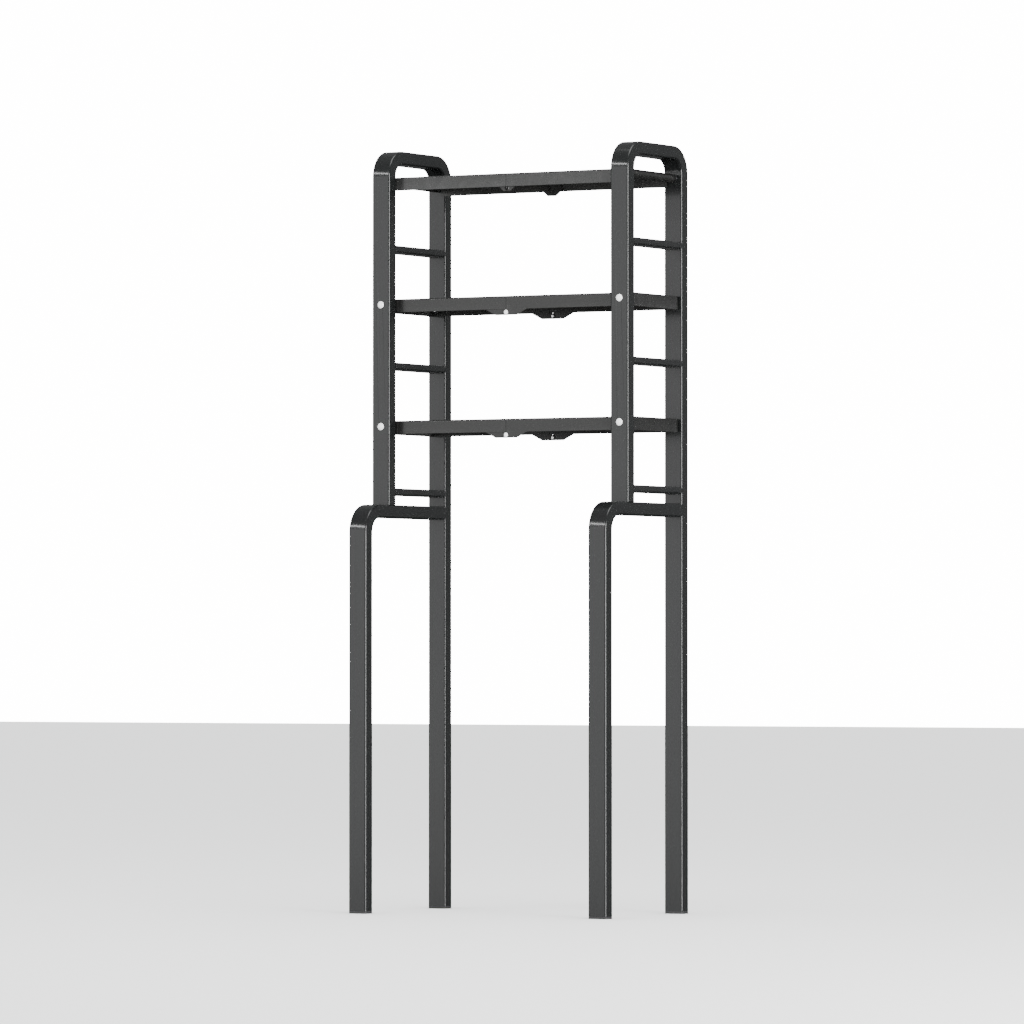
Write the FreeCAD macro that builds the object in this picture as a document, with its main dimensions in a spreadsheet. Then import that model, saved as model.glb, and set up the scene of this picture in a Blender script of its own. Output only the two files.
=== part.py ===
"""Folding rack that stands over a toilet.

Two side frames of bent tube carry three tiers.  Each tier is two sheet metal
halves hinged together at the middle, so the side frames fold towards each other.
Millimetres.  X runs along the shelves, +Y is the back and +Z is up.  The origin is
on the floor, under the middle of the whole rack.
"""
import FreeCAD, Part
import os
import Sketcher

SIZES = {
    "height": 1500, "frame_spacing": 538, "post_spacing": 216, "leg_reach": 88,
    "tube_width": 40, "tube_depth": 26, "tube_wall": 1.2, "tube_corner": 3.5,
    "hoop_bend": 40, "leg_bend": 43, "arm_top": 801,
    "rung_height": 14, "rung_top_one": 1313, "rung_top_two": 1082, "rung_top_three": 834,
    "foot_thick": 5, "foot_spigot": 18, "spigot_gap": 0.15,
    "sheet": 1.2, "lip_drop": 26, "lip_corner": 3, "shelf_gap": 2, "seam_gap": 0.3,
    "mid_deck": 1207, "lower_deck": 967, "end_drop": 12, "end_overhang": 12,
    "bolt_diameter": 8, "bolt_head": 14, "head_rise": 3.4, "fit_gap": 0.05,
    "loop_gap": 0.3, "nut_across": 13, "nut_thick": 4, "washer_diameter": 16, "end_play": 0.3,
    "ear_top": 47, "ear_bottom": 24, "ear_radius": 5.5, "ear_gap": 0.5,
    "hidden_ear_top": 22, "hidden_ear_bottom": 9, "tab_rise": 12, "tab_inset": 8,
    "rivet_diameter": 5, "rivet_head": 9, "rivet_rise": 1.8,
    "rod_diameter": 15.5, "roll_gap": 0.05, "collar_diameter": 18, "roll_relief": 3,
}
TIERS = ("top", "mid", "lower")
SIDES = {"right": 1, "left": -1}

doc = FreeCAD.newDocument("Rack")
sheet = doc.addObject("Spreadsheet::Sheet", "Sizes")
for row, (alias, size) in enumerate(SIZES.items(), start=1):
    sheet.set(f"A{row}", alias)
    sheet.set(f"B{row}", str(size))
    sheet.setAlias(f"B{row}", alias)
doc.recompute()


def size(alias):
    """The expression that reads one driving dimension."""
    return f"Sizes.{alias}"


# Places that several pieces share, as expressions of the driving dimensions.
HALF_DEPTH = "(Sizes.post_spacing + Sizes.leg_reach + Sizes.tube_depth) / 2"
REAR_POST = f"({HALF_DEPTH} - Sizes.tube_depth / 2)"
FRONT_POST = f"({REAR_POST} - Sizes.post_spacing)"
FRONT_LEG = f"({FRONT_POST} - Sizes.leg_reach)"
FRONT_FACE = f"({FRONT_POST} + Sizes.tube_depth / 2)"
REAR_FACE = f"({REAR_POST} - Sizes.tube_depth / 2)"
WINDOW = f"({REAR_FACE} - {FRONT_FACE})"
SHELF_FRONT = f"({FRONT_FACE} + Sizes.shelf_gap)"
SHELF_REAR = f"({REAR_FACE} - Sizes.shelf_gap)"
ROLL_RADIUS = "(Sizes.rod_diameter / 2 + Sizes.roll_gap + Sizes.sheet)"
ARM_CENTRE = "(Sizes.arm_top - Sizes.tube_depth / 2)"
TOP_CENTRE = "(Sizes.height - Sizes.tube_depth / 2)"
SPAN = "(Sizes.frame_spacing / 2)"
# The top tier's hinge plates stand this far behind its lips, so its rivet heads clear them.
TOP_SET_BACK = "(Sizes.rivet_rise + 2 * Sizes.end_play)"


def deck(tier):
    """Height of a tier's upper face. The top one lies level with the start of the hoop's bend."""
    if tier == "top":
        return f"({TOP_CENTRE} - Sizes.hoop_bend)"
    return size(f"{tier}_deck")


def end_pivot(tier):
    """Height of a tier's end pivots."""
    drop = ROLL_RADIUS if tier == "top" else size("end_drop")
    return f"({deck(tier)} - {drop})"


# Every tier has the same drop from its end pivots to its centre pivot, so they fold as one.
CENTRE_DROP = "(Sizes.lip_drop + Sizes.ear_radius + Sizes.ear_gap - Sizes.end_drop)"


def centre_pivot(tier):
    return f"({end_pivot(tier)} - {CENTRE_DROP})"


def lip_bottom(tier):
    return f"({deck(tier)} - Sizes.lip_drop)"


def value(expression):
    """The number an expression gives now, used as a sketch's first guess."""
    result = sheet.evalExpression(expression)
    return float(getattr(result, "Value", result))


def move(piece, x="0", y="0", z="0"):
    for axis, expression in (("x", x), ("y", y), ("z", z)):
        piece.setExpression(f"Placement.Base.{axis}", expression)
    return piece


def new_body(name):
    body = doc.addObject("PartDesign::Body", name)
    body.Label = name
    return body


def new_sketch(body, name, plane, offset="0"):
    """A sketch on one of the body's own planes, moved along that plane's normal."""
    sketch = body.newObject("Sketcher::SketchObject", f"{body.Name}_{name}")
    origin = [part for part in body.Origin.OriginFeatures if part.Role == plane][0]
    sketch.AttachmentSupport = [(origin, "")]
    sketch.MapMode = "FlatFace"
    sketch.setExpression("AttachmentOffset.Base.z", offset)
    return sketch


def pin(sketch, geometry, corner, point, kinds=("DistanceX", "DistanceY")):
    """Hold one end of a line or arc, or a circle's centre, at a point."""
    for kind, expression in zip(("DistanceX", "DistanceY"), point):
        if kind not in kinds:
            continue
        number = value(expression)
        index = sketch.addConstraint(Sketcher.Constraint(kind, -1, 1, geometry, corner, number))
        sketch.setExpression(f"Constraints[{index}]", expression)


def line(sketch, start, finish):
    ends = [FreeCAD.Vector(value(u), value(v), 0) for u, v in (start, finish)]
    geometry = sketch.addGeometry(Part.LineSegment(*ends), False)
    pin(sketch, geometry, 1, start)
    pin(sketch, geometry, 2, finish)


def arc(sketch, centre, radius, first_angle, last_angle):
    """An arc about a centre, anticlockwise between two angles in degrees."""
    middle = FreeCAD.Vector(value(centre[0]), value(centre[1]), 0)
    circle = Part.Circle(middle, FreeCAD.Vector(0, 0, 1), value(radius))
    turn = FreeCAD.Units.Quantity("1 deg").getValueAs("rad").Value
    curve = Part.ArcOfCircle(circle, first_angle * turn, last_angle * turn)
    geometry = sketch.addGeometry(curve, False)
    steps = {0: ("1", "0"), 90: ("0", "1"), 180: ("-1", "0"), 270: ("0", "-1")}
    pin(sketch, geometry, 3, centre)
    across, along = steps[first_angle % 360]
    pin(sketch, geometry, 1, (f"{centre[0]} + ({across}) * {radius}", f"{centre[1]} + ({along}) * {radius}"))
    # The centre and the start leave the arc one freedom, its last angle.
    if last_angle % 180:
        pin(sketch, geometry, 2, centre, ("DistanceX",))
    else:
        pin(sketch, geometry, 2, centre, ("DistanceY",))


def circle(sketch, centre, diameter):
    middle = FreeCAD.Vector(value(centre[0]), value(centre[1]), 0)
    round_edge = Part.Circle(middle, FreeCAD.Vector(0, 0, 1), value(diameter) / 2)
    geometry = sketch.addGeometry(round_edge, False)
    pin(sketch, geometry, 3, centre)
    index = sketch.addConstraint(Sketcher.Constraint("Diameter", geometry, value(diameter)))
    sketch.setExpression(f"Constraints[{index}]", diameter)


def polygon(sketch, points):
    for start, finish in zip(points, points[1:] + points[:1]):
        line(sketch, start, finish)


def rectangle(sketch, left, low, right, high):
    polygon(sketch, [(left, low), (right, low), (right, high), (left, high)])


def rounded(sketch, width, depth, radius, middle=("0", "0")):
    """A rectangle with round corners about a middle point."""
    u, v = middle
    far_u = f"({width} / 2 - {radius})"
    far_v = f"({depth} / 2 - {radius})"
    half_u = f"{width} / 2"
    half_v = f"{depth} / 2"
    line(sketch, (f"{u} - {far_u}", f"{v} - {half_v}"), (f"{u} + {far_u}", f"{v} - {half_v}"))
    arc(sketch, (f"{u} + {far_u}", f"{v} - {far_v}"), radius, 270, 360)
    line(sketch, (f"{u} + {half_u}", f"{v} - {far_v}"), (f"{u} + {half_u}", f"{v} + {far_v}"))
    arc(sketch, (f"{u} + {far_u}", f"{v} + {far_v}"), radius, 0, 90)
    line(sketch, (f"{u} + {far_u}", f"{v} + {half_v}"), (f"{u} - {far_u}", f"{v} + {half_v}"))
    arc(sketch, (f"{u} - {far_u}", f"{v} + {far_v}"), radius, 90, 180)
    line(sketch, (f"{u} - {half_u}", f"{v} + {far_v}"), (f"{u} - {half_u}", f"{v} - {far_v}"))
    arc(sketch, (f"{u} - {far_u}", f"{v} - {far_v}"), radius, 180, 270)


def tube_section(sketch, width, depth, middle=("0", "0")):
    """The hollow section of a tube: its outside and its bore."""
    rounded(sketch, width, depth, "Sizes.tube_corner", middle)
    bore = "(Sizes.tube_corner - Sizes.tube_wall)"
    rounded(sketch, f"({width} - 2 * Sizes.tube_wall)", f"({depth} - 2 * Sizes.tube_wall)", bore, middle)


def pad(body, sketch, length, name="Pad"):
    """Add material from a sketch, along its plane's normal."""
    feature = body.newObject("PartDesign::Pad", f"{body.Name}_{name}")
    feature.Profile = sketch
    feature.setExpression("Length", length)
    sketch.Visibility = False
    return feature


def pocket(body, sketch, length, name, backwards=False):
    feature = body.newObject("PartDesign::Pocket", f"{body.Name}_{name}")
    feature.Profile = sketch
    feature.Reversed = backwards
    feature.setExpression("Length", length)
    return feature


def drill(body, name, holes):
    """Holes along Y, right through the body.  Each hole is a centre and a diameter."""
    sketch = new_sketch(body, f"{name}_outline", "XZ_Plane", HALF_DEPTH)
    for centre, diameter in holes:
        circle(sketch, centre, diameter)
    # The plane's normal is -Y, so the cut starts in front of the body and runs back.
    return pocket(body, sketch, f"2 * {HALF_DEPTH}", name)


def pipe(body, section, path):
    feature = body.newObject("PartDesign::AdditivePipe", f"{body.Name}_Pipe")
    feature.Profile = section
    feature.Spine = path
    feature.Transition = "Transformed"
    return feature


def bolt_holes():
    """Where the end pivots of the two lower tiers go through a frame's posts."""
    diameter = "(Sizes.bolt_diameter + 2 * Sizes.fit_gap)"
    return [(("0", end_pivot(tier)), diameter) for tier in ("mid", "lower")]


def hoop(side):
    """The upside-down U: the rear post reaches the floor, the front one the arm."""
    body = new_body(f"{side}_hoop")
    section = new_sketch(body, "Section", "XY_Plane", size("foot_thick"))
    tube_section(section, size("tube_width"), size("tube_depth"), ("0", REAR_POST))
    path = new_sketch(body, "Path", "YZ_Plane")
    shoulder = deck("top")
    line(path, (REAR_POST, size("foot_thick")), (REAR_POST, shoulder))
    arc(path, (f"{REAR_POST} - Sizes.hoop_bend", shoulder), "Sizes.hoop_bend", 0, 90)
    line(path, (f"{REAR_POST} - Sizes.hoop_bend", TOP_CENTRE), (f"{FRONT_POST} + Sizes.hoop_bend", TOP_CENTRE))
    arc(path, (f"{FRONT_POST} + Sizes.hoop_bend", shoulder), "Sizes.hoop_bend", 90, 180)
    line(path, (FRONT_POST, shoulder), (FRONT_POST, size("arm_top")))
    pipe(body, section, path)
    drill(body, "PivotHoles", bolt_holes())
    return body


def front_leg(side):
    """The lower tube: an arm from the rear post that bends down into the front leg."""
    body = new_body(f"{side}_front_leg")
    section = new_sketch(body, "Section", "XY_Plane", size("foot_thick"))
    tube_section(section, size("tube_width"), size("tube_depth"), ("0", FRONT_LEG))
    path = new_sketch(body, "Path", "YZ_Plane")
    knee = f"({ARM_CENTRE} - Sizes.leg_bend)"
    line(path, (FRONT_LEG, size("foot_thick")), (FRONT_LEG, knee))
    arc(path, (f"{FRONT_LEG} + Sizes.leg_bend", knee), "Sizes.leg_bend", 90, 180)
    line(path, (f"{FRONT_LEG} + Sizes.leg_bend", ARM_CENTRE), (REAR_FACE, ARM_CENTRE))
    pipe(body, section, path)
    return body


def rung(side, place):
    """A flat cross tube between the posts of one frame."""
    body = new_body(f"{side}_rung_{place}")
    section = new_sketch(body, "Section", "XZ_Plane", f"-({FRONT_FACE})")
    middle = ("0", f"(Sizes.rung_top_{place} - Sizes.rung_height / 2)")
    tube_section(section, size("tube_width"), size("rung_height"), middle)
    feature = pad(body, section, WINDOW)
    feature.Reversed = True
    return body


def cylinder(name, diameter, length, y, z):
    """A round bar along Y."""
    bar = doc.addObject("Part::Cylinder", name)
    bar.setExpression("Radius", f"({diameter}) / 2")
    bar.setExpression("Height", length)
    bar.Placement.Rotation = FreeCAD.Rotation(FreeCAD.Vector(1, 0, 0), -90)
    return move(bar, "0", y, z)


def ring(name, outer, inner, length, y, z):
    """A washer or collar along Y."""
    cut = doc.addObject("Part::Cut", name)
    cut.Base = cylinder(f"{name}_outside", outer, length, y, z)
    cut.Tool = cylinder(f"{name}_bore", inner, f"{length} + 2", f"{y} - 1", z)
    return cut


def group(name, pieces):
    """Separate solids that are alike and share one node."""
    compound = doc.addObject("Part::Compound", name)
    compound.Label = name
    compound.Links = pieces
    return compound


def foot_plugs(side):
    """Plastic plugs, one in each leg, that the frame stands on."""
    plugs = []
    bore_width = "(Sizes.tube_width - 2 * Sizes.tube_wall - 2 * Sizes.spigot_gap)"
    bore_depth = "(Sizes.tube_depth - 2 * Sizes.tube_wall - 2 * Sizes.spigot_gap)"
    for place, y in (("front", FRONT_LEG), ("rear", REAR_POST)):
        body = new_body(f"{side}_{place}_plug")
        sole = new_sketch(body, "Sole", "XY_Plane")
        rounded(sole, size("tube_width"), size("tube_depth"), "Sizes.tube_corner", ("0", y))
        pad(body, sole, size("foot_thick"), "SolePad")
        spigot = new_sketch(body, "Spigot", "XY_Plane", size("foot_thick"))
        rounded(spigot, bore_width, bore_depth, "(Sizes.tube_corner - Sizes.tube_wall)", ("0", y))
        pad(body, spigot, size("foot_spigot"), "SpigotPad")
        plugs.append(body)
    return group(f"{side}_foot_plugs", plugs)


# The stack along a pivot bolt, from the outside face of its post inwards.
LIP_OUTER = "(Sizes.tube_depth + Sizes.shelf_gap)"
NUT_START = f"({LIP_OUTER} + Sizes.sheet + Sizes.end_play)"
BOLT_LENGTH = f"({NUT_START} + Sizes.nut_thick + 1)"


def domed_pin(name, shank, head, rise, length):
    """A pin along +Y with a domed head at its front end, whose flat seat is at zero."""
    body = new_body(name)
    sketch = new_sketch(body, "Profile", "XY_Plane")
    crown = value(rise)
    rim = value(head) / 2
    dome = (rim ** 2 + crown ** 2) / (2 * crown)
    seat = FreeCAD.Vector(rim, 0, 0)
    peak = FreeCAD.Vector(0, -crown, 0)
    turn = FreeCAD.Vector(0, dome - crown, 0)
    middle = turn + ((seat - turn) + (peak - turn)).normalize() * dome
    geometry = sketch.addGeometry(Part.Arc(peak, middle, seat), False)
    pin(sketch, geometry, 1, ("0", f"-({rise})"))
    pin(sketch, geometry, 2, (f"{head} / 2", "0"))
    radius = f"(({head} / 2) ^ 2 + ({rise}) ^ 2) / (2 * ({rise}))"
    index = sketch.addConstraint(Sketcher.Constraint("Radius", geometry, dome))
    sketch.setExpression(f"Constraints[{index}]", radius)
    corners = [(f"{head} / 2", "0"), (f"{shank} / 2", "0"), (f"{shank} / 2", length),
               ("0", length), ("0", f"-({rise})")]
    for start, finish in zip(corners, corners[1:]):
        line(sketch, start, finish)
    spin = body.newObject("PartDesign::Revolution", f"{name}_Spin")
    spin.Profile = sketch
    spin.ReferenceAxis = (sketch, ["V_Axis"])
    spin.Angle = 360
    return body


def face_back(piece):
    """Turn a piece made for the front so that it faces the back."""
    piece.Placement.Rotation = FreeCAD.Rotation(FreeCAD.Vector(0, 0, 1), 180)
    return piece


def pivot_places():
    """Name, tier, outside face and inward direction of one frame's pivot bolts."""
    places = []
    for tier in ("mid", "lower"):
        places.append((f"{tier}_front", tier, f"({FRONT_POST} - Sizes.tube_depth / 2)", 1))
        places.append((f"{tier}_rear", tier, f"({REAR_POST} + Sizes.tube_depth / 2)", -1))
    return places


def pivot_bolts(side):
    bolts = []
    for name, tier, face, inward in pivot_places():
        bolt = domed_pin(f"{side}_{name}_bolt", size("bolt_diameter"), size("bolt_head"),
                         size("head_rise"), BOLT_LENGTH)
        if inward < 0:
            face_back(bolt)
        bolts.append(move(bolt, "0", face, end_pivot(tier)))
    return group(f"{side}_pivot_bolts", bolts)


def along(face, inward, start, length):
    """The lower Y of a stretch that begins so far inwards from a face."""
    if inward > 0:
        return f"({face} + {start})"
    return f"({face} - {start} - {length})"


def pivot_nuts(side):
    nuts = []
    for name, tier, face, inward in pivot_places():
        body = doc.addObject("Part::Prism", f"{side}_{name}_nut_blank")
        body.Polygon = 6
        body.setExpression("Circumradius", "Sizes.nut_across / 1.7320508")
        body.setExpression("Height", size("nut_thick"))
        body.Placement.Rotation = FreeCAD.Rotation(FreeCAD.Vector(1, 0, 0), -90)
        y = along(face, inward, NUT_START, size("nut_thick"))
        move(body, "0", y, end_pivot(tier))
        nut = doc.addObject("Part::Cut", f"{side}_{name}_nut")
        nut.Base = body
        nut.Tool = cylinder(f"{side}_{name}_nut_bore", "Sizes.bolt_diameter", "Sizes.nut_thick + 2",
                            f"{y} - 1", end_pivot(tier))
        nuts.append(nut)
    return group(f"{side}_pivot_nuts", nuts)


def pivot_washers(side):
    """Washers that fill the gap between a post and the shelf's lip."""
    washers = []
    for name, tier, face, inward in pivot_places():
        thick = "(Sizes.shelf_gap - Sizes.end_play)"
        y = along(face, inward, "Sizes.tube_depth", thick)
        bore = "(Sizes.bolt_diameter + 2 * Sizes.fit_gap)"
        washers.append(ring(f"{side}_{name}_washer", "Sizes.washer_diameter", bore, thick, y, end_pivot(tier)))
    return group(f"{side}_pivot_washers", washers)


def top_rod(side):
    rod = cylinder(f"{side}_top_rod", "Sizes.rod_diameter", WINDOW, FRONT_FACE, end_pivot("top"))
    rod.Label = f"{side}_top_rod"
    return rod


def rod_collars(side):
    """Collars between the posts and the ends of the rolled shelf end."""
    collars = []
    thick = "(Sizes.shelf_gap - Sizes.end_play)"
    bore = "(Sizes.rod_diameter + 2 * Sizes.fit_gap)"
    for name, y in (("front", FRONT_FACE), ("rear", f"({REAR_FACE} - {thick})")):
        collars.append(ring(f"{side}_{name}_collar", "Sizes.collar_diameter", bore, thick, y, end_pivot("top")))
    return group(f"{side}_rod_collars", collars)


def ear_outline(sketch, sign, pivot, lip, top, bottom, near):
    """Half an ear: a trapezoid under the lip with a round end about the centre pivot."""
    radius = size("ear_radius")
    low = f"({pivot} - {radius})"
    high = f"({pivot} + {radius})"
    sides = (f"{sign} * {near}", f"{sign} * {top}", f"{sign} * {bottom}")
    line(sketch, (sides[0], lip), (sides[1], lip))
    line(sketch, (sides[1], lip), (sides[2], low))
    line(sketch, (sides[2], low), ("0", low))
    if sign > 0:
        arc(sketch, ("0", pivot), radius, 90, 270)
    else:
        arc(sketch, ("0", pivot), radius, 270, 450)
    line(sketch, ("0", high), (sides[0], high))
    line(sketch, (sides[0], high), (sides[0], lip))


def lip_rows():
    """The front and rear lip: outer face, and the direction into the shelf."""
    return (("front", SHELF_FRONT, 1), ("rear", SHELF_REAR, -1))


def plate_pad(body, sketch_name, face, inward, start, thick, draw):
    """Add a plate parallel to the lips, so far in from a lip's outer face."""
    low = along(face, inward, start, thick)
    sketch = new_sketch(body, sketch_name, "XZ_Plane", f"-({low})")
    draw(sketch)
    feature = pad(body, sketch, thick, f"{sketch_name}Pad")
    feature.Reversed = True
    return feature


def long_edges(feature, height):
    """Names of the edges along X at one height."""
    names = []
    for number, edge in enumerate(feature.Shape.Edges, start=1):
        box = edge.BoundBox
        if box.YLength < 0.01 and box.ZLength < 0.01 and box.XLength > 20:
            if abs(box.ZMax - height) < 0.01:
                names.append(f"Edge{number}")
    return names


def shelf_half(tier, side):
    """One half of a tier: a sheet pressed down at the front, the back and the post end."""
    sign = SIDES[side]
    body = new_body(f"{tier}_shelf_{side}")
    is_top = tier == "top"
    reach = SPAN if is_top else f"({SPAN} + Sizes.end_overhang)"
    near = f"{sign} * Sizes.seam_gap"
    far = f"{sign} * {reach}"
    plan = new_sketch(body, "Plan", "XY_Plane", lip_bottom(tier))
    rectangle(plan, near, SHELF_FRONT, far, SHELF_REAR)
    blank = pad(body, plan, size("lip_drop"), "Blank")
    doc.recompute()
    outer = body.newObject("PartDesign::Fillet", f"{body.Name}_OuterBend")
    outer.Base = (blank, long_edges(blank, value(deck(tier))))
    outer.setExpression("Radius", size("lip_corner"))
    hollow = new_sketch(body, "Hollow", "XY_Plane", lip_bottom(tier))
    inside_far = f"{sign} * ({reach} + 1)" if is_top else f"{sign} * ({reach} - Sizes.sheet)"
    rectangle(hollow, f"{sign} * (Sizes.seam_gap - 1)", f"{SHELF_FRONT} + Sizes.sheet",
              inside_far, f"{SHELF_REAR} - Sizes.sheet")
    cut = pocket(body, hollow, "Sizes.lip_drop - Sizes.sheet", "HollowCut", True)
    doc.recompute()
    inner = body.newObject("PartDesign::Fillet", f"{body.Name}_InnerBend")
    inner.Base = (cut, long_edges(cut, value(f"{deck(tier)} - Sizes.sheet")))
    inner.setExpression("Radius", "Sizes.lip_corner - Sizes.sheet")
    if is_top:
        roll_end(body, sign)
    else:
        if side == "right":
            for place, face, inward in lip_rows():
                plate_pad(body, f"{place}_ear", face, inward, "0", "Sizes.sheet",
                          lambda sketch: ear_outline(sketch, sign, centre_pivot(tier), lip_bottom(tier),
                                                     size("ear_top"), size("ear_bottom"),
                                                     size("seam_gap")))
        gap = size("loop_gap") if (side == "left" and tier == "lower") else size("fit_gap")
        holes = [((f"{sign} * {SPAN}", end_pivot(tier)), f"(Sizes.bolt_diameter + 2 * {gap})")]
        if side == "right":
            holes.append((("0", centre_pivot(tier)), "(Sizes.rivet_diameter + 2 * Sizes.fit_gap)"))
        drill(body, "PivotHoles", holes)
    return body


def roll_end(body, sign):
    """Roll the top tier's post end round the rod, and cut the lips back to clear it."""
    axis = (f"{sign} * {SPAN}", end_pivot("top"))
    relief = new_sketch(body, "Relief", "XZ_Plane", f"-({SHELF_FRONT} - 1)")
    edge = f"{sign} * ({SPAN} - {ROLL_RADIUS} - Sizes.roll_relief)"
    rectangle(relief, edge, f"{lip_bottom('top')} - 1", f"{sign} * ({SPAN} + 2)",
              f"{deck('top')} - Sizes.sheet")
    pocket(body, relief, f"({SHELF_REAR} - {SHELF_FRONT} + 2)", "ReliefCut", False)
    ring_sketch = new_sketch(body, "Roll", "XZ_Plane", f"-({SHELF_FRONT})")
    gap = size("loop_gap") if sign < 0 else size("roll_gap")
    circle(ring_sketch, axis, f"(2 * {ROLL_RADIUS})")
    feature = pad(body, ring_sketch, f"({SHELF_REAR} - {SHELF_FRONT})", "RollPad")
    feature.Reversed = True
    drill(body, "RodBore", [(axis, f"(Sizes.rod_diameter + 2 * {gap})")])


def hinge_plates(tier, side):
    """Plates welded behind the lips that carry the centre pivot."""
    sign = SIDES[side]
    plates = []
    spacer = TOP_SET_BACK if tier == "top" else "0"
    if side == "left":
        spacer = f"({spacer} + Sizes.end_play)"
    if side == "left" and tier == "top":
        spacer = f"({spacer} + Sizes.sheet)"
    for place, face, inward in lip_rows():
        body = new_body(f"{tier}_{side}_{place}_plate")
        start = f"(Sizes.sheet + {spacer})"
        pivot = centre_pivot(tier)
        lip = lip_bottom(tier)
        shoulder = f"({lip} + Sizes.tab_rise)"
        inset = size("tab_inset")
        is_top = tier == "top"
        base = f"({pivot} + Sizes.ear_radius + Sizes.seam_gap)" if is_top else lip
        near = inset if is_top else size("seam_gap")
        kind = "hidden_ear" if is_top else "ear"

        def outline(sketch):
            ear_outline(sketch, sign, pivot, base, size(f"{kind}_top"), size(f"{kind}_bottom"), near)

        def tab(sketch):
            rectangle(sketch, f"{sign} * {inset}", lip, f"{sign} * Sizes.{kind}_top", shoulder)

        plate_pad(body, f"{place}_ear", face, inward, start, "Sizes.sheet", outline)
        plate_pad(body, f"{place}_tab", face, inward, start, "Sizes.sheet", tab)
        if spacer != "0":
            plate_pad(body, f"{place}_weld", face, inward, "Sizes.sheet", spacer, tab)
        diameter = "Sizes.rivet_diameter" if side == "left" else "(Sizes.rivet_diameter + 2 * Sizes.fit_gap)"
        drill(body, "PivotHole", [(("0", pivot), diameter)])
        plates.append(body)
    return group(f"{tier}_hinge_plates_{side}", plates)


def centre_rivets(tier):
    """The rivets that join the two halves, one at the front and one at the back."""
    rivets = []
    first = f"(Sizes.sheet + {TOP_SET_BACK})" if tier == "top" else "0"
    length = "(2 * Sizes.sheet + 2 * Sizes.end_play + 1)"
    for place, face, inward in lip_rows():
        name = f"{tier}_{place}_rivet"
        rivet = domed_pin(name, size("rivet_diameter"), size("rivet_head"), size("rivet_rise"), length)
        if inward < 0:
            face_back(rivet)
        y = f"({face} + {inward} * ({first} - Sizes.end_play))"
        rivets.append(move(rivet, "0", y, centre_pivot(tier)))
    return group(f"{tier}_centre_rivets", rivets)


def frame(side):
    """Every piece of one side frame, placed at its end of the shelves."""
    pieces = [hoop(side), front_leg(side), top_rod(side), rod_collars(side), foot_plugs(side),
              pivot_bolts(side), pivot_nuts(side), pivot_washers(side)]
    pieces += [rung(side, place) for place in ("one", "two", "three")]
    for piece in pieces:
        piece.setExpression("Placement.Base.x", f"{SIDES[side]} * {SPAN}")
    return pieces


def tier_pieces(tier):
    pieces = [shelf_half(tier, side) for side in SIDES]
    pieces.append(hinge_plates(tier, "left"))
    if tier == "top":
        pieces.append(hinge_plates(tier, "right"))
    pieces.append(centre_rivets(tier))
    return pieces


def check(pieces):
    """Stop if any feature failed or any piece is empty or not valid."""
    doc.recompute()
    for item in doc.Objects:
        if "Invalid" in item.State or "Error" in item.State:
            raise RuntimeError(f"{item.Label} failed: {item.State}")
    for piece in pieces:
        if piece.Shape.isNull() or not piece.Shape.isValid() or not piece.Shape.Solids:
            raise RuntimeError(f"{piece.Label} has no valid solid")


nodes = []
for side in SIDES:
    nodes += frame(side)
for tier in TIERS:
    nodes += tier_pieces(tier)
check(nodes)
os.makedirs("parts", exist_ok=True)
for node in nodes:
    node.Shape.exportStep(f"parts/{node.Label}.step")
    print(node.Label, len(node.Shape.Solids), round(node.Shape.Volume))
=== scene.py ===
# %% [markdown]
# # A folding rack that stands over a toilet
# The imported model already has every metal piece at its true shape and place, so this
# lesson is about finish: rounded edges that catch the light, a powder coat with its fine
# orange peel, pivot heads painted pale as a highlight, matt plugs, small weld beads, and the light
# itself.

# %% Load the frame
import math

import bmesh
import bpy
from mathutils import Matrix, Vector


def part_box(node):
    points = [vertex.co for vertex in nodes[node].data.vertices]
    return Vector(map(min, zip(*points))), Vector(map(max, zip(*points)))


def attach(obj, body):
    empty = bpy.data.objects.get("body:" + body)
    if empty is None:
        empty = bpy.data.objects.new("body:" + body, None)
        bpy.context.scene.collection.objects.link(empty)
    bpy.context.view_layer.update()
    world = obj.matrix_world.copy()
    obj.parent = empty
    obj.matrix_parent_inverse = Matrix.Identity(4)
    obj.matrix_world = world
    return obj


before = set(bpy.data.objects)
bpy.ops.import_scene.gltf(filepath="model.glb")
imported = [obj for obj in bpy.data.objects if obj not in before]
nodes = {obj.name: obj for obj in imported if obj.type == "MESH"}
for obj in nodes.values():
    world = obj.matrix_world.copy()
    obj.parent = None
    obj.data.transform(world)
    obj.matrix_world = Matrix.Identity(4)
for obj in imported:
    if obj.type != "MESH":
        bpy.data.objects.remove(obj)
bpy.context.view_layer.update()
MM = 0.001

# %% [markdown]
# Every effect that more than one finish uses is a node group, built once. The first makes
# the orange peel of sprayed powder: two sizes of soft noise that become a bump height, and
# the same noise makes the gloss a little uneven.

# %% Helpers for node trees


def new_group(name, inputs, outputs):
    """An empty shader group with number or colour sockets."""
    group = bpy.data.node_groups.new(name, "ShaderNodeTree")
    for label, kind, default in inputs:
        socket = group.interface.new_socket(label, in_out="INPUT", socket_type=kind)
        socket.default_value = default
    for label, kind in outputs:
        group.interface.new_socket(label, in_out="OUTPUT", socket_type=kind)
    return group, group.nodes.new("NodeGroupInput"), group.nodes.new("NodeGroupOutput")


def add(tree, kind, **settings):
    """Add a node, set its properties, and then the sockets named in `inputs`."""
    node = tree.nodes.new(kind)
    sockets = settings.pop("inputs", {})
    for key, setting in settings.items():
        setattr(node, key, setting)
    for key, setting in sockets.items():
        node.inputs[key].default_value = setting
    return node


def noise(tree, scale, detail=2.0):
    """Noise on Object coordinates, in cycles per metre."""
    place = add(tree, "ShaderNodeTexCoord")
    texture = add(tree, "ShaderNodeTexNoise", inputs={"Scale": scale, "Detail": detail})
    tree.links.new(place.outputs["Object"], texture.inputs["Vector"])
    return texture.outputs["Fac"]


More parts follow.
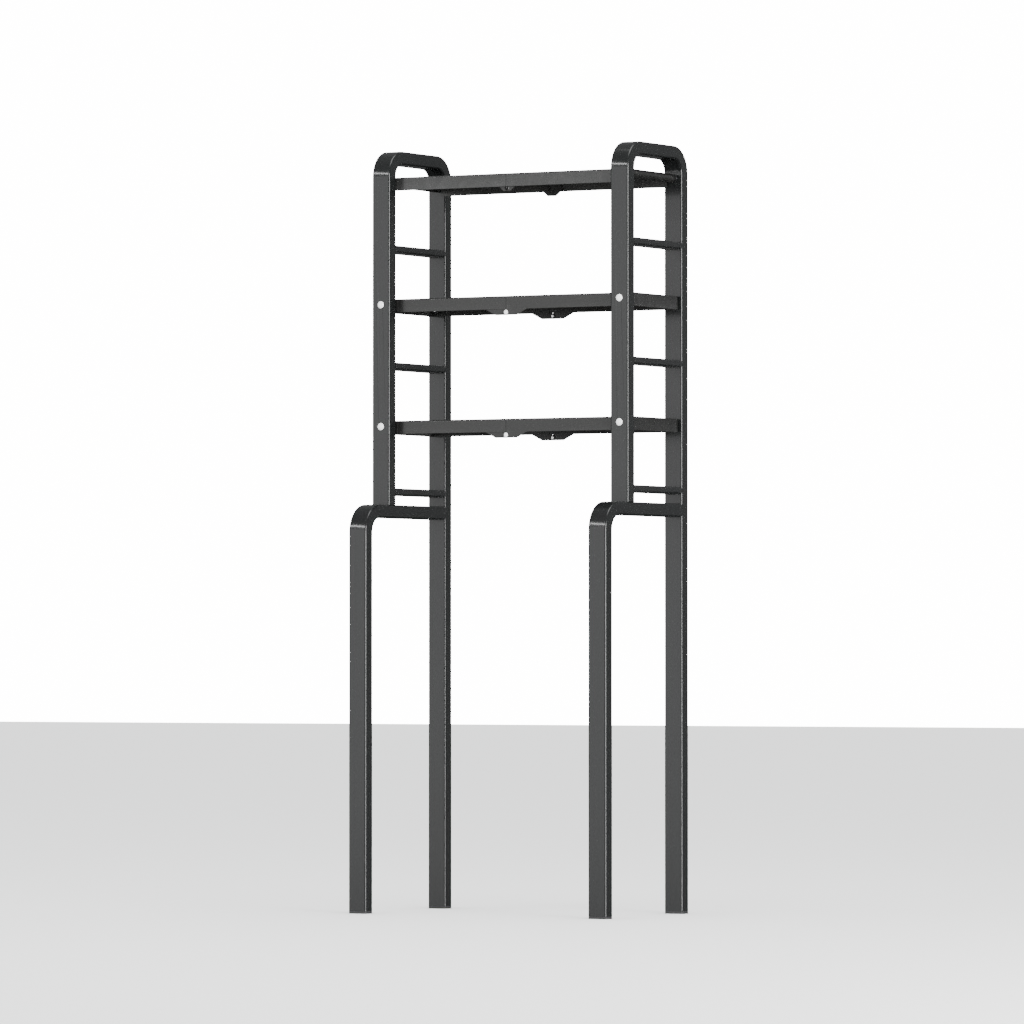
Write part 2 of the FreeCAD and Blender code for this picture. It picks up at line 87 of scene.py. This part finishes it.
def maths(tree, operation, first, second, third=None):
    """One Math node. Each value is a number or the output of another node."""
    node = add(tree, "ShaderNodeMath", operation=operation)
    for index, number in enumerate((first, second, third)):
        if number is None:
            continue
        if hasattr(number, "is_linked"):
            tree.links.new(number, node.inputs[index])
        else:
            node.inputs[index].default_value = number
    return node.outputs[0]


# %% The sprayed powder group
SPECKLE_SHARE = 0.25
CLOUD_SCALE = 14.0


def build_powder():
    group, given, result = new_group(
        "sprayed_powder",
        [("Peel Scale", "NodeSocketFloat", 420.0), ("Speckle Scale", "NodeSocketFloat", 2600.0)],
        [("Height", "NodeSocketFloat"), ("Cloud", "NodeSocketFloat")])
    peel = noise(group, 1.0, 2.0)
    speckle = noise(group, 1.0, 1.0)
    group.links.new(given.outputs["Peel Scale"], peel.node.inputs["Scale"])
    group.links.new(given.outputs["Speckle Scale"], speckle.node.inputs["Scale"])
    height = maths(group, "MULTIPLY_ADD", speckle, SPECKLE_SHARE, peel)
    group.links.new(height, result.inputs["Height"])
    group.links.new(noise(group, CLOUD_SCALE, 3.0), result.inputs["Cloud"])
    return group


powder = build_powder()

# %% [markdown]
# The second group finds corners. Geometry's Pointiness is high where a surface turns
# sharply outwards, which is where a coat is thin and gets rubbed, so a smooth step over it
# gives a mask for paler edges.

# %% The rubbed edge group
RUB_SCALE = 60.0


def build_rubbed_edge():
    group, given, result = new_group(
        "rubbed_edge",
        [("Start", "NodeSocketFloat", 0.52), ("End", "NodeSocketFloat", 0.62)],
        [("Mask", "NodeSocketFloat")])
    geometry = add(group, "ShaderNodeNewGeometry")
    step = add(group, "ShaderNodeMapRange", interpolation_type="SMOOTHSTEP")
    group.links.new(geometry.outputs["Pointiness"], step.inputs["Value"])
    group.links.new(given.outputs["Start"], step.inputs["From Min"])
    group.links.new(given.outputs["End"], step.inputs["From Max"])
    rubbing = noise(group, RUB_SCALE, 3.0)
    patchy = maths(group, "MULTIPLY", step.outputs["Result"], rubbing)
    group.links.new(patchy, result.inputs["Mask"])
    return group


rubbed_edge = build_rubbed_edge()

# %% [markdown]
# A light layer of dust lies only on what faces up. The normal's Z picks those faces, and
# cloudy noise breaks the layer into patches.

# %% The settled dust group
DUST_SCALE = 9.0
LEAST_SLOPE = 0.7


def build_dust():
    group, given, result = new_group(
        "settled_dust", [("Amount", "NodeSocketFloat", 0.3)], [("Mask", "NodeSocketFloat")])
    geometry = add(group, "ShaderNodeNewGeometry")
    split = add(group, "ShaderNodeSeparateXYZ")
    group.links.new(geometry.outputs["Normal"], split.inputs[0])
    facing = add(group, "ShaderNodeMapRange", interpolation_type="SMOOTHSTEP",
                 inputs={"From Min": LEAST_SLOPE, "From Max": 1.0})
    group.links.new(split.outputs["Z"], facing.inputs["Value"])
    cloudy = maths(group, "MULTIPLY", facing.outputs["Result"], noise(group, DUST_SCALE, 2.0))
    mask = maths(group, "MULTIPLY", cloudy, given.outputs["Amount"])
    group.links.new(mask, result.inputs["Mask"])
    return group


dust = build_dust()

# %% [markdown]
# A finish is one material: the shader holds what is the same everywhere, such as the coat
# and the specular level, and the groups vary the colour, the roughness and the bump.

# %% Make a finish
PEEL_HEIGHT = 0.12 * MM
DUST_DULLING = 0.5
DUST = (0.16, 0.155, 0.15)


def mix_colour(tree, mask, first, second):
    node = add(tree, "ShaderNodeMix", data_type="RGBA")
    tree.links.new(mask, node.inputs[0])
    for socket, colour in ((node.inputs[6], first), (node.inputs[7], second)):
        if hasattr(colour, "is_linked"):
            tree.links.new(colour, socket)
        else:
            socket.default_value = (*colour, 1)
    return node.outputs[2]


def finish(name, colour, cloud_colour, edge_colour, roughness, spread, metallic=0.0, coat=0.0,
           coat_roughness=0.1, bump=0.0, peel=420.0, dusty=0.0):
    """A sprayed, moulded or plated surface, built from the shared groups."""
    material = bpy.data.materials.new(name)
    material.use_nodes = True
    tree = material.node_tree
    shader = tree.nodes["Principled BSDF"]
    shader.inputs["Metallic"].default_value = metallic
    shader.inputs["Coat Weight"].default_value = coat
    shader.inputs["Coat Roughness"].default_value = coat_roughness
    surface = add(tree, "ShaderNodeGroup", node_tree=powder, inputs={"Peel Scale": peel})
    edges = add(tree, "ShaderNodeGroup", node_tree=rubbed_edge)
    dirt = add(tree, "ShaderNodeGroup", node_tree=dust, inputs={"Amount": dusty})
    base = mix_colour(tree, surface.outputs["Cloud"], colour, cloud_colour)
    worn = mix_colour(tree, edges.outputs["Mask"], base, edge_colour)
    dusted = mix_colour(tree, dirt.outputs["Mask"], worn, DUST)
    tree.links.new(dusted, shader.inputs["Base Color"])
    gloss = maths(tree, "MULTIPLY_ADD", surface.outputs["Cloud"], spread, roughness - spread / 2)
    gloss = maths(tree, "MULTIPLY_ADD", dirt.outputs["Mask"], DUST_DULLING, gloss)
    tree.links.new(gloss, shader.inputs["Roughness"])
    relief = add(tree, "ShaderNodeBump", inputs={"Strength": bump, "Distance": PEEL_HEIGHT})
    tree.links.new(surface.outputs["Height"], relief.inputs["Height"])
    tree.links.new(relief.outputs["Normal"], shader.inputs["Normal"])
    return material


# %% [markdown]
# The tubes and the shelves are sprayed with the same kind of black powder, a little glossier on
# the tubes. The pivot heads are plated. A true metal would mirror the dim room and go grey, so
# their metallic level is kept low and their near-white colour is a painted highlight that keeps them
# pale under soft light.

# %% The five finishes
frame_coat = finish("frame_powder_coat", colour=(0.0055, 0.0062, 0.0062),
                    cloud_colour=(0.0080, 0.0084, 0.0084), edge_colour=(0.05, 0.05, 0.05),
                    roughness=0.20, spread=0.08, coat=0.35, coat_roughness=0.10, bump=0.04,
                    dusty=0.025)
shelf_coat = finish("shelf_powder_coat", colour=(0.0065, 0.0068, 0.0064),
                    cloud_colour=(0.0098, 0.0096, 0.0091), edge_colour=(0.05, 0.05, 0.05),
                    roughness=0.27, spread=0.1, coat=0.25, coat_roughness=0.16, bump=0.04,
                    peel=380.0, dusty=0.03)
# Near-white base and edge colours: a painted highlight that stands in for the plated heads' glint.
painted_glint_nickel = finish("painted_glint_nickel", colour=(0.95, 0.95, 0.94), cloud_colour=(0.90, 0.90, 0.89),
                       edge_colour=(0.98, 0.98, 0.97), roughness=0.42, spread=0.06,
                       metallic=0.15, bump=0.05, peel=700.0)
black_zinc = finish("black_zinc", colour=(0.05, 0.05, 0.055), cloud_colour=(0.08, 0.08, 0.085),
                    edge_colour=(0.2, 0.2, 0.2), roughness=0.42, spread=0.12, metallic=0.8,
                    bump=0.08, peel=900.0)
plug_plastic = finish("plug_plastic", colour=(0.022, 0.022, 0.023), cloud_colour=(0.03, 0.03, 0.031),
                      edge_colour=(0.06, 0.06, 0.06), roughness=0.6, spread=0.1, bump=0.4,
                      peel=900.0, dusty=0.15)
print(len(bpy.data.materials), "finishes")

# %% [markdown]
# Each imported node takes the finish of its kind. Pressed sheet and cut tube never have knife
# edges, so a small Bevel modifier rounds what is sharp; its width is a real edge radius.
# A CAD mesh has split vertices, so a Weld modifier joins them first. The top tier's rivets
# are coated over with the shelf.

# %% Give each node its finish and its edge
WELD_GAP = 0.005 * MM
EDGE_SEGMENTS = 2
EDGE_ANGLE = math.radians(50)
FLAT_FACE_WEIGHT = 70
FLAT_FACE_LIMIT = 1e-8
# A word in the node's name, its finish and its edge width in mm. The first word that fits wins.
FINISHES = (("bolts", painted_glint_nickel, 0.25), ("top_centre_rivets", shelf_coat, 0.2),
            ("rivets", painted_glint_nickel, 0.2),
            ("plugs", plug_plastic, 0.8), ("nuts", black_zinc, 0.4),
            ("washers", black_zinc, 0.2), ("collars", black_zinc, 0.3),
            ("plates", shelf_coat, 0.3), ("shelf", shelf_coat, 0.3),
            ("rod", frame_coat, 0.0), ("", frame_coat, 0.3))


def soften(piece, width, folded):
    """Weld, bevel and smooth a piece. On folded sheet the large flat faces win the shading."""
    weld = piece.modifiers.new("weld", "WELD")
    weld.merge_threshold = WELD_GAP
    if width:
        bevel = piece.modifiers.new("edge", "BEVEL")
        bevel.width = width * MM
        bevel.segments = EDGE_SEGMENTS
        bevel.limit_method = "ANGLE"
        bevel.angle_limit = EDGE_ANGLE
        bevel.use_clamp_overlap = True
        bevel.harden_normals = False
    shading = piece.modifiers.new("true_normals", "WEIGHTED_NORMAL")
    shading.keep_sharp = True
    if folded:
        shading.weight = FLAT_FACE_WEIGHT
        shading.thresh = FLAT_FACE_LIMIT


def dress(name, piece):
    for word, material, width in FINISHES:
        if word in name:
            piece.data.materials.clear()
            piece.data.materials.append(material)
            piece.data.shade_smooth()
            soften(piece, width, material is shelf_coat)
            return


for name, piece in nodes.items():
    dress(name, piece)
print("dressed", len(nodes), "nodes")

# %% [markdown]
# Where a rung, an arm or a post meets another tube there is a weld: a low ripple of metal
# that runs round the joint and is coated with the frame. It could be a pipe along a curve,
# but a welder's bead is a row of overlapping drops, so it is made from one drop, flattened
# and repeated along the seam.

# %% Make one weld bead


def clear_selection():
    for item in list(bpy.context.selected_objects):
        item.select_set(False)


def make_drop():
    """One flattened drop of weld metal, 1 mm across, at the origin."""
    clear_selection()
    bpy.ops.mesh.primitive_uv_sphere_add(segments=8, ring_count=6, radius=0.5)
    drop = bpy.context.object
    bpy.ops.object.mode_set(mode="EDIT")
    bpy.ops.mesh.select_all(action="SELECT")
    bpy.ops.transform.resize(value=(1, 0.8, 1))
    bpy.ops.object.mode_set(mode="OBJECT")
    shape = drop.data.copy()
    bpy.data.objects.remove(drop)
    return shape


drop_shape = make_drop()
print("a drop has", len(drop_shape.polygons), "faces")

# %% Run beads along the seams
BEAD = 1.6 * MM
PITCH = 1.3 * MM
RIPPLE = 0.12
RIPPLE_STEP = 2.4
SEAM_INSET = 4 * MM
TUBE_DEPTH = 26 * MM


def run_bead(mesh, begin, end):
    """Copy the drop along a straight seam."""
    begin, end = Vector(begin), Vector(end)
    count = max(2, round((end - begin).length / PITCH))
    for step in range(count + 1):
        middle = begin.lerp(end, step / count)
        ripple = BEAD * (1 + RIPPLE * math.sin(step * RIPPLE_STEP))
        copy = bmesh.new()
        copy.from_mesh(drop_shape)
        bmesh.ops.scale(copy, vec=(ripple, ripple, ripple), verts=copy.verts)
        bmesh.ops.translate(copy, vec=middle, verts=copy.verts)
        scratch = bpy.data.meshes.new("scratch")
        copy.to_mesh(scratch)
        copy.free()
        mesh.from_mesh(scratch)
        bpy.data.meshes.remove(scratch)


def weld_seams(name, seams, body):
    """One object that holds the beads of a frame's seams."""
    beads = bmesh.new()
    for begin, end in seams:
        run_bead(beads, begin, end)
    shape = bpy.data.meshes.new(name)
    beads.to_mesh(shape)
    beads.free()
    shape.shade_smooth()
    piece = bpy.data.objects.new(name, shape)
    bpy.context.scene.collection.objects.link(piece)
    piece.data.materials.append(frame_coat)
    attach(piece, body)
    print(name, len(shape.polygons), "faces")
    return piece


def frame_seams(side):
    """Beads under each rung's ends, round the arm's end and the post's foot."""
    seams = []
    for place in ("one", "two", "three"):
        low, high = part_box(f"{side}_rung_{place}")
        for y in (low.y, high.y):
            for z in (low.z, high.z):
                seams.append(((low.x + SEAM_INSET, y, z), (high.x - SEAM_INSET, y, z)))
    low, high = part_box(f"{side}_front_leg")
    left, right = low.x + SEAM_INSET, high.x - SEAM_INSET
    seams.append(((left, high.y, high.z), (right, high.y, high.z)))
    post_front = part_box(f"{side}_hoop")[0].y
    post_back = post_front + TUBE_DEPTH
    for y in (post_front, post_back):
        seams.append(((left, y, high.z), (right, y, high.z)))
    return seams


for side in ("right", "left"):
    weld_seams(f"{side}_weld_beads", frame_seams(side), f"{side}_frame")

# %% [markdown]
# The room: a pale floor and soft light. Black gloss shows only what it reflects, so the
# light is planned as reflections. A broad panel on the viewer's side greys the front faces, a
# dim room leaves the side faces darker, an upright panel draws the bright lines down the tubes'
# rounded corners, and a thin strip draws those where the bends start.

# %% The floor
FLOOR_SIZE = 60
FLOOR_COLOUR = (0.86, 0.86, 0.85)
FLOOR_ROUGHNESS = 0.9


def stage_piece(name, roughness, colour):
    material = bpy.data.materials.new(name)
    material.use_nodes = True
    shader = material.node_tree.nodes["Principled BSDF"]
    shader.inputs["Base Color"].default_value = (*colour, 1)
    shader.inputs["Roughness"].default_value = roughness
    clear_selection()
    bpy.ops.mesh.primitive_plane_add(size=FLOOR_SIZE, location=(0, 0, 0))
    floor = bpy.context.object
    floor.name = name
    floor.data.materials.append(material)
    floor.visible_glossy = False
    return floor


stage_piece("pale_floor", FLOOR_ROUGHNESS, FLOOR_COLOUR)

# %% Camera
CAMERA_YAW = math.radians(30.115)
CAMERA_PITCH = math.radians(1.208)
CAMERA_PLACE = Vector((6.5692, -11.3510, 0.5089))
SENSOR = 36.0
LENS_TO_SENSOR = 6.54228515625
FARTHEST = 100

camera_data = bpy.data.cameras.new("camera")
camera_data.sensor_width = SENSOR
camera_data.lens = SENSOR * LENS_TO_SENSOR
camera_data.clip_end = FARTHEST
camera = bpy.data.objects.new("camera", camera_data)
bpy.context.scene.collection.objects.link(camera)
camera.location = CAMERA_PLACE
camera.rotation_euler = (math.radians(90) + CAMERA_PITCH, 0, CAMERA_YAW)
bpy.context.scene.camera = camera

# %% Lights


def panel(name, place, target, width, height, power):
    """A rectangular area light that faces a target."""
    light = bpy.data.lights.new(name, "AREA")
    light.shape = "RECTANGLE"
    light.size = width
    light.size_y = height
    light.energy = power
    lamp = bpy.data.objects.new(name, light)
    bpy.context.scene.collection.objects.link(lamp)
    lamp.location = place
    aim = Vector(target) - Vector(place)
    lamp.rotation_euler = aim.to_track_quat("-Z", "Y").to_euler()
    return lamp


MIRROR_SIDE = Vector((-0.5, -0.866, 0))
LAMP_DISTANCE = 6.5


def mirrored_place(height):
    """Where the front faces show a lamp to the camera: the mirror of its line of sight."""
    return Vector((0, 0, height)) + MIRROR_SIDE * LAMP_DISTANCE


# Name, place, target, width and height in metres, and power in watts.
LAMPS = (("front_panel", mirrored_place(0.95), (0, 0, 0.95), 3.2, 2.6, 34),
         ("bend_strip", mirrored_place(3.4), (0, 0, 1.3), 3.2, 0.40, 75),
         ("edge_panel", (4.8, -2.7, 1.0), (0, 0, 0.9), 1.8, 3.6, 420),
         ("top_panel", (0.5, -0.6, 4.6), (0, 0, 1), 3.0, 3.0, 90))
for lamp in LAMPS:
    panel(*lamp)
print(len(LAMPS), "lamps")

# %% [markdown]
# The room that the metal reflects is darker than the pale wall behind the rack. In a studio
# black flags round the set do this. Here the world holds three rooms: a white wall for the
# camera, an even pale room that lights the floor, and for gloss a dim one that goes nearly
# black below, so the shelves' undersides stay dark. The Light Path node picks between them.

# %% The room
PALE_WALL = (0.97, 0.97, 0.96)
EVEN_ROOM = (0.98, 0.99, 1.0)
DARK_BELOW = -0.12


def background(tree, colour, strength):
    return add(tree, "ShaderNodeBackground", inputs={"Color": (*colour, 1), "Strength": strength})


def pick(tree, mask, first, second):
    node = add(tree, "ShaderNodeMixShader")
    for index, output in enumerate((mask, first.outputs[0], second.outputs[0])):
        tree.links.new(output, node.inputs[index])
    return node


def build_room(wall_strength, even_strength, gloss_above, gloss_below):
    world = bpy.data.worlds.new("room")
    world.use_nodes = True
    tree = world.node_tree
    tree.nodes.remove(tree.nodes["Background"])
    wall = background(tree, PALE_WALL, wall_strength)
    even = background(tree, EVEN_ROOM, even_strength)
    gloss = background(tree, EVEN_ROOM, gloss_above)
    direction = add(tree, "ShaderNodeTexCoord")
    split = add(tree, "ShaderNodeSeparateXYZ")
    fade = add(tree, "ShaderNodeMapRange", inputs={
        "From Min": DARK_BELOW, "From Max": 0.0, "To Min": gloss_below, "To Max": gloss_above})
    tree.links.new(direction.outputs["Generated"], split.inputs[0])
    tree.links.new(split.outputs["Z"], fade.inputs["Value"])
    tree.links.new(fade.outputs["Result"], gloss.inputs["Strength"])
    path = add(tree, "ShaderNodeLightPath")
    lit = pick(tree, path.outputs["Is Glossy Ray"], even, gloss)
    seen = pick(tree, path.outputs["Is Camera Ray"], lit, wall)
    tree.links.new(seen.outputs[0], tree.nodes["World Output"].inputs["Surface"])
    bpy.context.scene.world = world


build_room(wall_strength=16.0, even_strength=2.3, gloss_above=0.20, gloss_below=0.03)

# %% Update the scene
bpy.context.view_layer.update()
